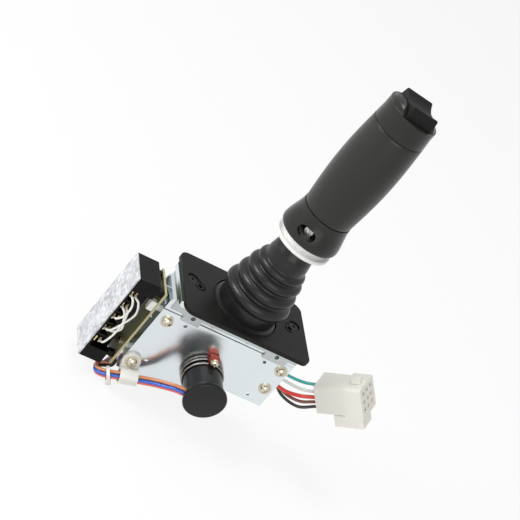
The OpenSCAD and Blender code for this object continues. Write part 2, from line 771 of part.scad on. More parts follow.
module module_case() {
    color("#1e1d1c") {
        difference() {
            translate([resin_x, -module_w / 2, -module_low]) cube([module_t, module_w, module_low - module_top]);
            translate([resin_x + 1.4, -module_w / 2 - 1, bay_low]) cube([module_t, bay_deep + 1, bay_top - bay_low]);
        }
        for (i = [0:5]) translate([resin_x + 1.4, -module_w / 2 + 1, bay_top - 4 + (0.5 - i) * terminal_pitch - 0.9])
            if (i > 0 && i < 5) cube([6.5, bay_deep, 1.8]);
        for (y = [-module_w / 2 + 1.5, module_w / 2 - 5.5], z = [-module_top - 8, -module_low + 7])
            translate([module_x, y, z]) cube([module_gap, 4, 4]);
    }
}

module module_resin() {
    color("#c8cacc", 0.9) translate([resin_x - resin_t, -module_w / 2, -module_low])
        cube([resin_t, module_w, module_low - module_top]);
}

module terminals() {
    color("#c8a94e") for (z = terminal_z, x = terminal_x)
        translate([x - 0.5, -module_w / 2 + bay_deep - 4.6, z - 2.2]) cube([1, 4.6, 4.4]);
}

// White links that bridge neighbouring terminals in front of the bay
module jumper_wires() {
    loop_r = terminal_pitch / 2;
    foot_y = -module_w / 2 + bay_deep - 4.6;
    color("#eceae0") for (i = [0:3]) translate([terminal_x[i % 2], foot_y, (terminal_z[i] + terminal_z[i + 1]) / 2])
        rotate([0, 90, 0]) rotate([0, 0, 180]) rotate_extrude(angle = 180) translate([loop_r, 0]) circle(0.75);
}

// ---------- wiring ----------

// Route of one sensor wire: beside the bundle's line, then up its own lane between board and frame
function wire_route(i) =
    let (line = curve(bundle_route, 2), frames = carried(line, 0, unit(cross(along(line, 0), [0.5, -0.86, 0]))))
    concat([for (k = [0:len(line) - 1]) line[k] + wire_side[i][0] * frames[k] + wire_side[i][1] * cross(frames[k], along(line, k))],
        [[wire_end_x, wire_end_y[i], -76.2], [wire_end_x, wire_end_y[i], -71]]);

module wire_orange() { color("#c87850") tube_along(wire_route(0), wire_r); }
module wire_blue() { color("#3a6fd0") tube_along(wire_route(1), wire_r); }
module wire_red() { color("#f07060") tube_along(wire_route(2), wire_r); }
module wire_black() { color("#26241f") tube_along(wire_route(3), wire_r); }

// Nylon P clip: a round tab under the screw and a strap round the four wires, turned along the wires
module cable_clip() {
    strap_w = 12;
    strap_t = 1.2;
    eye = [-plate_y - 5.8, -10];
    eye_r = 4.3;
    color("#ecebe2") translate([clip_screw_at[0], 0, clip_screw_at[1]]) rotate([0, -clip_turn, 0]) difference() {
        union() {
            translate([-strap_w / 2, 0, 0]) rotate([90, 0, 90]) linear_extrude(strap_w) difference() {
                union() {
                    translate(eye) circle(eye_r + strap_t);
                    translate([-plate_y - 2 * strap_t, eye[1] + 1]) square([2 * strap_t, -eye[1] - 1]);
                }
                translate(eye) circle(eye_r);
                translate([-plate_y, -20]) square([20, 40]);
            }
            bar_y(strap_w / 2, -plate_y - 2 * strap_t, -plate_y);
        }
        bar_y(screw_bore_r, -plate_y - 5, 0);
    }
}

module clip_screw() {
    color("#cfc9b4") translate([clip_screw_at[0], -plate_y - 2.4, clip_screw_at[1]]) rotate([90, 0, 0]) rotate(10)
        pan_screw(11);
}

// A small nylon tie round the wires where they turn back under the module
module cable_tie() {
    color("#eeede6") translate([-54.5, -17.4, -79.2]) rotate([0, -32, 0]) difference() {
        union() {
            bar_x(5.2, -1.1, 1.1);
            translate([-1.7, -2.4, -7.6]) cube([3.4, 4.2, 3.2]);
        }
        bar_x(4.4, -3, 3);
    }
}

// Nylon saddle between the side plates that the output leads come out of
module lead_saddle() {
    color("#e9e8df") translate([saddle_x - 5, -plate_inner_y, -38.6]) difference() {
        cube([5, 2 * plate_inner_y, 9.8]);
        for (y = [4, 2 * plate_inner_y - 4]) translate([2.5, y, 6]) cylinder(r = 1.2, h = 5);
    }
}

module lead_teal() { color("#2a9a9a") tube_along(curve(lead_teal_route, 2), lead_r); }
module lead_white() { color("#dcdad2") tube_along(curve(lead_white_route, 2), lead_r); }
module lead_red() { color("#e8382c") tube_along(curve(lead_red_route, 2), supply_lead_r); }
module lead_brown() { color("#7a4030") tube_along(curve(lead_brown_route, 2), lead_r); }
module lead_black() { color("#1f1c1a") tube_along(curve(lead_black_route, 2), lead_r); }

// Local frame of the connector: +X runs from its rear face to its mating end
module on_connector() {
    translate(connector_at) rotate(connector_turn) children();
}

module connector_shell() {
    cell = 3.4;
    rear_w = connector_w - 1.6;
    step_x = 17;
    color("#efeee8") on_connector() difference() {
        union() {
            translate([-rear_len, 0, 0]) rotate([90, 0, 90]) linear_extrude(connector_len) round_rect(rear_w, rear_w, 2.2);
            translate([step_x, 0, 0]) rotate([90, 0, 90]) linear_extrude(connector_len - step_x)
                round_rect(connector_w, connector_w, 1.5);
            translate([connector_len - 9, -3.6, connector_w / 2 - 1]) cube([6, 7.2, 4.4]);
            translate([9, -connector_w / 2, -connector_w / 2 - 6.5]) cube([20.5, 14, 8]);
        }
        for (y = [-1:1], z = [-1:1]) translate([connector_len - 12, y * contact_pitch - cell / 2, z * contact_pitch - cell / 2])
            cube([13, cell, cell]);
    }
}

module connector_contacts() {
    color("#c9b878") on_connector() for (y = [-1:1], z = [-1:1])
        translate([connector_len - 12, y * contact_pitch, z * contact_pitch]) rotate([0, 90, 0]) cylinder(r = 0.9, h = 9);
}

// ---------- lever and grip ----------

module lever_tube() {
    slot_side = tube_r * 3;
    color("#b5b8b8") difference() {
        translate([0, 0, hub_top - 9]) cylinder(r = tube_r, h = tube_top - hub_top + 9);
        translate([0, 0, rod_low - 2]) cylinder(r = tube_bore_r, h = tube_top - 1.5 - rod_low + 2);
        for (z = [gate_z, ring_pin_z]) translate([0, slot_side / 2, z]) rotate([90, 0, 0])
            linear_extrude(slot_side) slot([0, -0.3], [0, ring_travel + 0.3], pin_r + slide_gap);
        translate([0, 0, hub_top - 4.5]) bar_x(pin_r, -hub_w, hub_w);
        rotate(window_turn) translate([0, 0, window_z]) bar_x(1.6, 0, 20);
    }
}

module grip_collar() {
    color("#3a3b38") difference() {
        rotate_extrude() polygon([[cavity_r, collar_low], [collar_r - 0.9, collar_low], [collar_r - 0.2, collar_low + 0.9],
            [collar_r, collar_low + 2.2], [collar_r - 0.25, collar_low + 4.5], [collar_r - 1.1, collar_low + 8.5],
            [collar_r - 2.1, collar_low + 12.5], [collar_r - 2.9, collar_low + 16], [seam_r, seam_z],
            [core_r, seam_z], [core_r, cavity_top + 1.5], [cavity_r - 2, cavity_top + 1.5], [cavity_r, cavity_top]]);
        rotate(window_turn) translate([12, 0, window_z]) rotate([90, 0, 90]) linear_extrude(12)
            slot([-window_w / 2 + window_h / 2, 0], [window_w / 2 - window_h / 2, 0], window_h / 2);
    }
}

// Clamping screw of the grip, seen in the collar's window
module grip_screw() {
    color("#cfd0cc") rotate(window_turn) translate([0, 0, window_z]) difference() {
        union() {
            bar_x(1.6, tube_bore_r + 0.4, core_r + 1);
            bar_x(3, core_r, core_r + 2.6);
        }
        translate([core_r + 2.6, 0, 0]) rotate([0, 90, 0]) cylinder(r = 1.4, h = 2.4, $fn = 6, center = true);
    }
}

module grip_core() {
    color("#4a4a48") difference() {
        translate([0, 0, core_low]) cylinder(r = core_r, h = cap_z - core_low);
        translate([0, 0, core_low - 1]) cylinder(r = tube_r, h = tube_top - core_low + 1);
        rotate(window_turn) translate([0, 0, window_z]) bar_x(1.6, 0, core_r + 1);
    }
}

// Radius of the sleeve at a height above its lower seam: a taper plus a bow, fullest half way up
function sleeve_radius(h) =
    let (k = h / (cap_z - seam_z)) seam_r - 0.3 + (sleeve_top_r - seam_r + 0.3) * k + sleeve_bulge * sin(180 * k);

module grip_sleeve() {
    rings = 16;
    len = cap_z - seam_z;
    color("#3f403d") rotate_extrude() polygon(concat(
        [[core_r, seam_z], [sleeve_radius(0) - 0.4, seam_z]],
        [for (i = [0:rings]) let (h = 0.4 + (len - 0.8) * i / rings) [sleeve_radius(h), seam_z + h]],
        [[sleeve_radius(len) - 0.4, cap_z], [core_r, cap_z]]));
}

// The grip's top leans a little towards +X about the rocker's pivot
module leaning() {
    translate([0, 0, pivot_rocker_z]) rotate([0, top_lean, 0]) translate([0, 0, -pivot_rocker_z]) children();
}

module grip_cap() {
    bay_w = rocker_w + 2 * rocker_gap;
    bay_reach = rocker_reach + 0.6;
    color("#3c3d3a") difference() {
        union() {
            intersection() {
                rotate_extrude() polygon([[0, cap_z], [sleeve_top_r - 0.4, cap_z], [sleeve_top_r, cap_z + 0.5],
                    [rim_r, cap_z + 8], [rim_r, cheek_top + 4], [0, cheek_top + 4]]);
                leaning() {
                    translate([0, 0, cap_z - 10]) cylinder(r = rim_r + 3, h = cap_wall_h + 10);
                    intersection() {
                        translate([0, 0, cheek_top - cheek_r]) bar_x(cheek_r, -rim_r - 3, rim_r + 3);
                        rotate_extrude() polygon([[0, cap_z], [rim_r + 0.6, cap_z], [rim_r + 0.6, cheek_top - 7.5],
                            [rim_r - 0.7, cheek_top - 4.8], [rim_r - 2.7, cheek_top - 2.2],
                            [rim_r - 5.3, cheek_top - 0.6], [rim_r - 8, cheek_top], [0, cheek_top]]);
                    }
                }
            }
            leaning() translate([0, 0, pivot_rocker_z]) bar_x(pin_r, -bay_w / 2 - 1, bay_w / 2 + 1);
        }
        leaning() difference() {
            union() {
                translate([-bay_w / 2, -bay_reach, bay_z]) cube([bay_w, 2 * bay_reach, 30]);
                translate([-bay_w / 2, -8.5, pivot_rocker_z - hinge_r - 0.5]) cube([bay_w, 17, 5]);
            }
            translate([0, 0, pivot_rocker_z]) bar_x(pin_r, -rocker_w, rocker_w);
        }
    }
}

// Points of an arc in Y and Z from angle a0 to a1
function arc(at, r, a0, a1, steps) =
    [for (i = [0:steps]) let (a = a0 + (a1 - a0) * i / steps) at + r * [cos(a), sin(a)]];

// Side outline of the rocker in Y and Z: two ridges with a hollow between them over a flat skirt
module rocker_outline() {
    ridge_r = 1.7;
    ridge_y = rocker_reach - 3.3;
    ridge_z = rim_z + ridge_h - ridge_r;
    saddle_r = (pow(ridge_y, 2) + pow(ridge_h - saddle_h, 2)) / (2 * (ridge_h - saddle_h)) - ridge_r;
    saddle_z = rim_z + saddle_h + saddle_r;
    meet = atan2(saddle_z - ridge_z, ridge_y);
    right = concat([[rocker_reach, rocker_end_z], [rocker_reach, rocker_end_z + 2]],
        arc([ridge_y, ridge_z], ridge_r, 8, 180 - meet, 8));
    left = [for (i = [len(right) - 1:-1:0]) [-right[i][0], right[i][1]]];
    saddle = arc([0, saddle_z], saddle_r, -meet, -180 + meet, 16);
    difference() {
        union() {
            polygon(concat(right, saddle, left));
            translate([0, pivot_rocker_z]) circle(hinge_r);
        }
        translate([0, pivot_rocker_z]) circle(pin_r + running_gap);
    }
}

module rocker() {
    color("#333330") leaning() translate([-rocker_w / 2, 0, 0]) rotate([90, 0, 90]) linear_extrude(rocker_w)
        rocker_outline();
}

bezel_plate();
bezel_screws();
flange_plate();
boot();
outer_channel();
inner_channel();
front_plate();
rear_plate();
frame_columns();
front_screws();
rear_screws();
pivot_shaft();
lever_hub();
hub_pin();
pivot_bushes();
centring_spring();
spring_post();
stop_pins();
lock_quadrants();
lock_ring();
ring_pin();
lock_rod();
gate_pin();
lock_spring();
pot_body();
pot_nut();
pot_cover();
clamp_wires();
clamp_block();
clamp_screw();
circuit_board();
board_posts();
board_screws();
board_header();
module_case();
module_resin();
terminals();
jumper_wires();
wire_blue();
wire_black();
wire_orange();
wire_red();
cable_clip();
clip_screw();
cable_tie();
lead_saddle();
lead_teal();
lead_white();
lead_red();
lead_brown();
lead_black();
connector_shell();
connector_contacts();
lever_tube();
grip_collar();
grip_screw();
grip_core();
grip_sleeve();
grip_cap();
rocker();
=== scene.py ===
import math

import bmesh
import bpy
from mathutils import Matrix, Vector
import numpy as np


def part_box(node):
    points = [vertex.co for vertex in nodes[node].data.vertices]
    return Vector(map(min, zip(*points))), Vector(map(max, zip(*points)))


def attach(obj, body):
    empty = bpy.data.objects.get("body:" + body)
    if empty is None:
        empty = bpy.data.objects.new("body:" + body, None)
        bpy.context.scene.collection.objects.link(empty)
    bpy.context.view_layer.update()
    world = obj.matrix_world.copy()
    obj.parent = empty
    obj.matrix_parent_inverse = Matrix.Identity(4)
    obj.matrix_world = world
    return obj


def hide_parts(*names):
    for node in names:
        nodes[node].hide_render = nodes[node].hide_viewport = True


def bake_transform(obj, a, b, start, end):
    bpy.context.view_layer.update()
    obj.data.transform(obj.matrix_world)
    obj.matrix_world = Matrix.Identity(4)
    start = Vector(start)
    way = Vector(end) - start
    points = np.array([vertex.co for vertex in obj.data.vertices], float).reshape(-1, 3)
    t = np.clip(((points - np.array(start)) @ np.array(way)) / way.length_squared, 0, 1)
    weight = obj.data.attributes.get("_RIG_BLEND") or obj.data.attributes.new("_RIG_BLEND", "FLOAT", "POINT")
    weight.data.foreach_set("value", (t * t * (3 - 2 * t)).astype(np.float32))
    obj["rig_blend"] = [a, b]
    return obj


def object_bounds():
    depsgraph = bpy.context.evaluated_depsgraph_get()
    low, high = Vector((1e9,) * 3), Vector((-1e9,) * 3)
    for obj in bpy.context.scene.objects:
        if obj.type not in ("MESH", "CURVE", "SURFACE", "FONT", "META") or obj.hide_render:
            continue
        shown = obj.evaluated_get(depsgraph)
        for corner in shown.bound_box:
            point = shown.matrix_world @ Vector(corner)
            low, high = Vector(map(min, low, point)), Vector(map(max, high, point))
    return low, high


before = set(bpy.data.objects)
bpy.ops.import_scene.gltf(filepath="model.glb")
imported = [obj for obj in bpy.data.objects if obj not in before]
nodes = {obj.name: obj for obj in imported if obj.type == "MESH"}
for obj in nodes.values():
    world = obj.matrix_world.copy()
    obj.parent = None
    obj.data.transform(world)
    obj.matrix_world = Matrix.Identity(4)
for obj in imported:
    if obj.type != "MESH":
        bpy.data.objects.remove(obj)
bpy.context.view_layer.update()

mm = 0.001

# ---------------------------------------------------------------- camera
# The joystick lies tipped towards the right in the view, seen from the left of its sensor
# side and from above, through a long lens.
view_right = Vector((0.81309, -0.09858, 0.57373))
view_up = Vector((-0.39497, 0.63057, 0.66811))
view_back = view_right.cross(view_up)
camera_data = bpy.data.cameras.new("camera")
camera_data.sensor_width = 36
camera_data.lens = 132.42
camera_data.clip_start, camera_data.clip_end = 0.05, 20
camera = bpy.data.objects.new("camera", camera_data)
camera.matrix_world = Matrix.Translation((-0.52727, -0.92276, 0.60469)) @ Matrix(
    (view_right, view_up, view_back)).transposed().to_4x4()
bpy.context.scene.collection.objects.link(camera)
bpy.context.scene.camera = camera


# ---------------------------------------------------------------- output leads
# Five stranded copper leads in glossy extruded insulation. They come out of a nylon saddle
# between the side plates, bow down a little and go into the rear of the plug housing.
def join(tree, source, output, target, socket):
    tree.links.new(source.outputs[output], target.inputs[socket])


def add(tree, kind, **values):
    """A node of that kind, with its properties set."""
    made = tree.nodes.new(kind)
    for key, value in values.items():
        setattr(made, key, value)
    return made


def surface_group():
    """Shader group: patches of tone over a surface, and a fine grain for roughness and bump."""
    tree = bpy.data.node_groups.new("surface_variation", "ShaderNodeTree")
    face = tree.interface
    for name, kind, value in (
            ("Colour", "NodeSocketColor", (0.5, 0.5, 0.5, 1)), ("Tone Spread", "NodeSocketFloat",
                                                                0.1),
            ("Patch Scale", "NodeSocketFloat", 60.0), ("Grain Scale", "NodeSocketFloat", 2500.0),
            ("Roughness", "NodeSocketFloat", 0.4), ("Roughness Spread", "NodeSocketFloat", 0.1),
            ("Stretch", "NodeSocketVector", (1, 1, 1))):
        face.new_socket(name, in_out="INPUT", socket_type=kind).default_value = value
    face.new_socket("Colour", in_out="OUTPUT", socket_type="NodeSocketColor")
    face.new_socket("Roughness", in_out="OUTPUT", socket_type="NodeSocketFloat")
    face.new_socket("Height", in_out="OUTPUT", socket_type="NodeSocketFloat")
    given, out = add(tree, "NodeGroupInput"), add(tree, "NodeGroupOutput")
    place = add(tree, "ShaderNodeTexCoord")
    stretched = add(tree, "ShaderNodeVectorMath", operation="MULTIPLY")
    join(tree, place, "Object", stretched, 0)
    join(tree, given, "Stretch", stretched, 1)
    patches = add(tree, "ShaderNodeTexNoise")
    patches.inputs["Detail"].default_value = 4
    grain = add(tree, "ShaderNodeTexNoise")
    grain.inputs["Detail"].default_value = 3
    for noise, scale in ((patches, "Patch Scale"), (grain, "Grain Scale")):
        join(tree, stretched, 0, noise, "Vector")
        join(tree, given, scale, noise, "Scale")
    centred = add(tree, "ShaderNodeMath", operation="SUBTRACT")
    centred.inputs[1].default_value = 0.5
    join(tree, patches, "Fac", centred, 0)
    tone = add(tree, "ShaderNodeMath", operation="MULTIPLY_ADD")
    join(tree, centred, 0, tone, 0)
    join(tree, given, "Tone Spread", tone, 1)
    tone.inputs[2].default_value = 1
    shade = add(tree, "ShaderNodeVectorMath", operation="SCALE")
    join(tree, given, "Colour", shade, 0)
    join(tree, tone, 0, shade, "Scale")
    join(tree, shade, 0, out, "Colour")
    both = add(tree, "ShaderNodeMath", operation="ADD")
    join(tree, patches, "Fac", both, 0)
    join(tree, grain, "Fac", both, 1)
    middle = add(tree, "ShaderNodeMath", operation="SUBTRACT")
    middle.inputs[1].default_value = 1
    join(tree, both, 0, middle, 0)
    rough = add(tree, "ShaderNodeMath", operation="MULTIPLY_ADD", use_clamp=True)
    join(tree, middle, 0, rough, 0)
    join(tree, given, "Roughness Spread", rough, 1)
    join(tree, given, "Roughness", rough, 2)
    join(tree, rough, 0, out, "Roughness")
    join(tree, grain, "Fac", out, "Height")
    return tree


surface_variation = surface_group()


def finish(name, colour, roughness, bump=0.15, bump_mm=0.05, tone=0.12, patch=60, grain=2500,
           spread=0.12, stretch=(1, 1, 1), **sockets):
    """A material of one stuff: tone patches and grain from the shared group, the rest plain."""
    material = bpy.data.materials.new(name)
    material.use_nodes = True
    tree = material.node_tree
    shader = tree.nodes["Principled BSDF"]
    group = add(tree, "ShaderNodeGroup", node_tree=surface_variation)
    group.inputs["Colour"].default_value = (*colour, 1)
    for key, value in (("Tone Spread", tone), ("Patch Scale", patch), ("Grain Scale", grain),
                       ("Roughness", roughness), ("Roughness Spread", spread), ("Stretch",
                                                                                stretch)):
        group.inputs[key].default_value = value
    relief = add(tree, "ShaderNodeBump")
    relief.inputs["Strength"].default_value = bump
    relief.inputs["Distance"].default_value = bump_mm * mm
    join(tree, group, "Colour", shader, "Base Color")
    join(tree, group, "Roughness", shader, "Roughness")
    join(tree, group, "Height", relief, "Height")
    join(tree, relief, "Normal", shader, "Normal")
    for key, value in sockets.items():
        shader.inputs[key.replace("_", " ")].default_value = value
    return material


def geometry_tree(name, sizes):
    """An empty Geometry Nodes tree with named inputs for its sizes and its material."""
    tree = bpy.data.node_groups.new(name, "GeometryNodeTree")
    tree.is_modifier = True
    tree.interface.new_socket("Geometry", in_out="INPUT", socket_type="NodeSocketGeometry")
    for size, value in sizes:
        kind = "NodeSocketInt" if isinstance(value, int) else "NodeSocketFloat"
        tree.interface.new_socket(size, in_out="INPUT", socket_type=kind).default_value = value
    tree.interface.new_socket("Material", in_out="INPUT", socket_type="NodeSocketMaterial")
    tree.interface.new_socket("Geometry", in_out="OUTPUT", socket_type="NodeSocketGeometry")
    return tree


def end_tree(tree, given, last, output="Geometry"):
    """Closes a tree: instances made real, smooth faces, and the material set."""
    real = add(tree, "GeometryNodeRealizeInstances")
    smooth = add(tree, "GeometryNodeSetShadeSmooth")
    painted = add(tree, "GeometryNodeSetMaterial")
    join(tree, last, output, real, "Geometry")
    join(tree, real, "Geometry", smooth, "Geometry")
    join(tree, smooth, "Geometry", painted, "Geometry")
    join(tree, given, "Material", painted, "Material")
    join(tree, painted, "Geometry", add(tree, "NodeGroupOutput"), "Geometry")


def to_piece(name, mesh, crisp=35):
    """An object of a finished mesh, smooth but for the edges sharper than crisp degrees."""
    mesh.name = name
    mesh.shade_smooth()
    mesh.set_sharp_from_angle(angle=math.radians(crisp))
    piece = bpy.data.objects.new(name, mesh)
    bpy.context.scene.collection.objects.link(piece)
    return piece


def evaluated(holder):
    """The plain mesh of an object with its modifiers done; the object itself is removed."""
    graph = bpy.context.evaluated_depsgraph_get()
    mesh = bpy.data.meshes.new_from_object(holder.evaluated_get(graph), depsgraph=graph)
    bpy.data.objects.remove(holder)
    return mesh


def grown(name, points, edges, tree, sizes, material, crisp=35, turns=None):
    """A piece that a Geometry Nodes tree grows on points or on a line of edges."""
    seed = bpy.data.meshes.new(name + "_seed")
    seed.from_pydata(points, edges, [])
    if turns:
        seed.attributes.new("turn", "FLOAT_VECTOR", "POINT").data.foreach_set(
            "vector", [value for turn in turns for value in turn])
    holder = bpy.data.objects.new(name + "_seed", seed)
    bpy.context.scene.collection.objects.link(holder)
    modifier = holder.modifiers.new("tree", "NODES")
    modifier.node_group = tree
    for item in tree.interface.items_tree:
        if item.in_out == "INPUT" and item.name in sizes:
            modifier[item.identifier] = sizes[item.name]
        elif item.in_out == "INPUT" and item.name == "Material":
            modifier[item.identifier] = material
    return to_piece(name, evaluated(holder), crisp)


def wire_tree():
    """Round wire of a given radius along the edges of the seed, closed at its ends."""
    tree = geometry_tree("round_wire", (("Radius", 1.0 * mm), ("Sides", 8)))
    given = add(tree, "NodeGroupInput")
    line = add(tree, "GeometryNodeMeshToCurve")
    ring = add(tree, "GeometryNodeCurvePrimitiveCircle")
    tube = add(tree, "GeometryNodeCurveToMesh")
    tube.inputs["Fill Caps"].default_value = True
    join(tree, given, "Geometry", line, "Mesh")
    join(tree, given, "Radius", ring, "Radius")
    join(tree, given, "Sides", ring, "Resolution")
    join(tree, line, "Curve", tube, "Curve")
    join(tree, ring, "Curve", tube, "Profile Curve")
    end_tree(tree, given, tube, "Mesh")
    return tree


round_wire = wire_tree()


def bowed(route, per):
    """Points of a smooth curve through a route given in millimetres, in metres."""
    points = []
    for i in range(len(route) - 1):
        a, b = Vector(route[max(i - 1, 0)]), Vector(route[i])
        c, d = Vector(route[i + 1]), Vector(route[min(i + 2, len(route) - 1)])
        for k in range(per):
            t = k / per
            points.append(0.5 * (2 * b + (c - a) * t + (2 * a - 5 * b + 4 * c - d) * t * t
                                 + (3 * b - a - 3 * c + d) * t * t * t) * mm)
    return points + [Vector(route[-1]) * mm]


def wire_piece(name, points, radius, material, sides=8):
    edges = [(i, i + 1) for i in range(len(points) - 1)]
    return grown(name, points, edges, round_wire, {"Radius": radius, "Sides": sides}, material, 60)


def insulation(name, colour):
    return finish(name, colour, 0.28, bump=0.08, tone=0.22, patch=220, grain=1800, Coat_Weight=0.25,
                  Coat_Roughness=0.15)


lead_r = 1.1 * mm
supply_lead_r = 1.35 * mm
lead_routes = {
    "teal": ((38, -4, -30.2), (49, -3.8, -30.8), (60, -2.8, -32.4), (70, -1.6, -32.8),
             (77.5, -2.3, -30), (81.3, -5.2, -25.9)),
    "white": ((38, -7, -32.8), (49, -6.8, -33.6), (60, -6, -35.4), (70, -5.6, -35.8),
              (77.4, -6.5, -33), (81.2, -9.4, -28.7)),
    "red": ((38, -8, -36), (49, -8, -38.8), (60, -8, -41), (71, -7.4, -40),
            (79, -8.2, -36), (83, -11.1, -31.4)),
    "brown": ((38, -3.5, -35), (49, -4.6, -38.6), (61, -6.6, -43.6), (73, -8.2, -43.6),
              (81.5, -8.8, -38.8), (85.5, -11.5, -33.8)),
    "black": ((38, -0.5, -36), (49, -1.6, -38.8), (61, -5, -47), (75, -7.8, -48.4),
              (85, -8.5, -42), (89.2, -11.3, -36.9)),
}
lead_colours = {"teal": (0.03, 0.42, 0.38), "white": (0.74, 0.75, 0.72), "red": (0.78, 0.035,
                                                                                 0.022),
                "brown": (0.2, 0.055, 0.032), "black": (0.012, 0.011, 0.01)}
for shade, route in lead_routes.items():
    path = bowed(route, 5)
    radius = supply_lead_r if shade == "red" else lead_r
    lead = wire_piece(f"output_lead_{shade}", path, radius, insulation(f"{shade}_insulation",
                                                                       lead_colours[shade]))
    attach(lead, "base")
    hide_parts(f"lead_{shade}")


# ---------------------------------------------------------------- bezel, its screws and the seat
# Injection moulded black plastic with a fine spark grain. The screws are black countersunk
# steel, sunk in two slots beside the boot's round seat.
def eased(node, edge_mm, material, body, angle=35, name=None):
    """A finished copy of a CAD node: its edges broken by a small bevel, as moulds and tumbling do."""
    copy = nodes[node].data.copy()
    copy.materials.clear()
    copy.materials.append(material)
    shape = bmesh.new()
    shape.from_mesh(copy)
    bmesh.ops.remove_doubles(shape, verts=shape.verts, dist=1e-6)
    bmesh.ops.dissolve_limit(shape, angle_limit=math.radians(1), verts=shape.verts,
                             edges=shape.edges)
    shape.to_mesh(copy)
    shape.free()
    for layer in list(copy.attributes):
        if layer.name == "custom_normal":
            copy.attributes.remove(layer)
    holder = bpy.data.objects.new(node + "_holder", copy)
    bpy.context.scene.collection.objects.link(holder)
    bevel = holder.modifiers.new("edge", "BEVEL")
    bevel.width = edge_mm * mm
    bevel.segments = 2
    bevel.limit_method = "ANGLE"
    bevel.angle_limit = math.radians(angle)
    bevel.use_clamp_overlap = True
    bevel.harden_normals = False
    mesh = evaluated(holder)
    piece = to_piece(name or node + "_finished", mesh, 20)
    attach(piece, body)
    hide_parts(node)
    return piece


def paint(material, *names):
    """Gives CAD nodes that stay their material."""
    for name in names:
        for held in nodes[name].material_slots:
            held.material = material


black_plastic = finish("grained_black_plastic", (0.008, 0.008, 0.0075), 0.44, bump=0.35,
                       bump_mm=0.08, tone=0.35,
                       patch=90, grain=3200, spread=0.16, Specular_IOR_Level=0.17)
black_steel = finish("blackened_steel", (0.018, 0.018, 0.018), 0.35, tone=0.3, patch=400,
                     Metallic=0.6)
eased("bezel_plate", 0.5, black_plastic, "base", name="bezel")
eased("bezel_screws", 0.15, black_steel, "base", name="bezel_countersunk_screws")


# ---------------------------------------------------------------- zinc plated sheet metal
# Punched and folded steel sheet, bright zinc plated with a faint blue passivation. The plates
# mirror what stands near them; the outer channel is drawn in a darker, greyer zinc as painted shade.
def zinc_finish(name, colour, roughness, cloud):
    """Plated steel: rolling streaks, clouds of passivation and tiny stains."""
    material = finish(name, colour, roughness, bump=0.06, bump_mm=0.03, tone=cloud, patch=28,
                      grain=900,
                      spread=0.1, stretch=(1, 1, 0.25), Metallic=1.0)
    return material


zinc = zinc_finish("bright_zinc", (0.75, 0.8, 0.82), 0.22, 0.16)
# A darker, rougher grey zinc for the outer channel: painted shade for its dark end wall beside the board.
painted_shade_zinc = zinc_finish("painted_shade_zinc", (0.52, 0.54, 0.545), 0.34, 0.35)
for node, edge in (("flange_plate", 0.35), ("front_plate", 0.2), ("rear_plate", 0.2),
                   ("inner_channel", 0.2)):
    eased(node, edge, zinc, "base")
# The outer channel takes the darker zinc, which paints shade into its colour.
eased("outer_channel", 0.2, painted_shade_zinc, "base")
paint(zinc, "lock_quadrants")

# ---------------------------------------------------------------- turned steel parts of the frame and lever
# Free cutting steel, turned and plain: columns, pins, shaft, hub, rod and tube, mostly inside.
turned_steel = finish("turned_steel", (0.55, 0.55, 0.54), 0.28, bump=0.1, tone=0.15, patch=120,
                      grain=3000,
                      stretch=(0.3, 1, 1), Metallic=1.0)
spring_steel = finish("spring_wire", (0.36, 0.36, 0.35), 0.3, tone=0.2, Metallic=1.0)
bronze = finish("sintered_bronze", (0.5, 0.33, 0.15), 0.45, tone=0.3, grain=4000, Metallic=1.0)
paint(turned_steel, "frame_columns", "pivot_shaft", "lever_hub", "hub_pin", "spring_post",
      "stop_pins",
      "ring_pin", "lock_rod", "gate_pin", "lever_tube", "grip_screw")
paint(spring_steel, "centring_spring")
paint(bronze, "pivot_bushes")


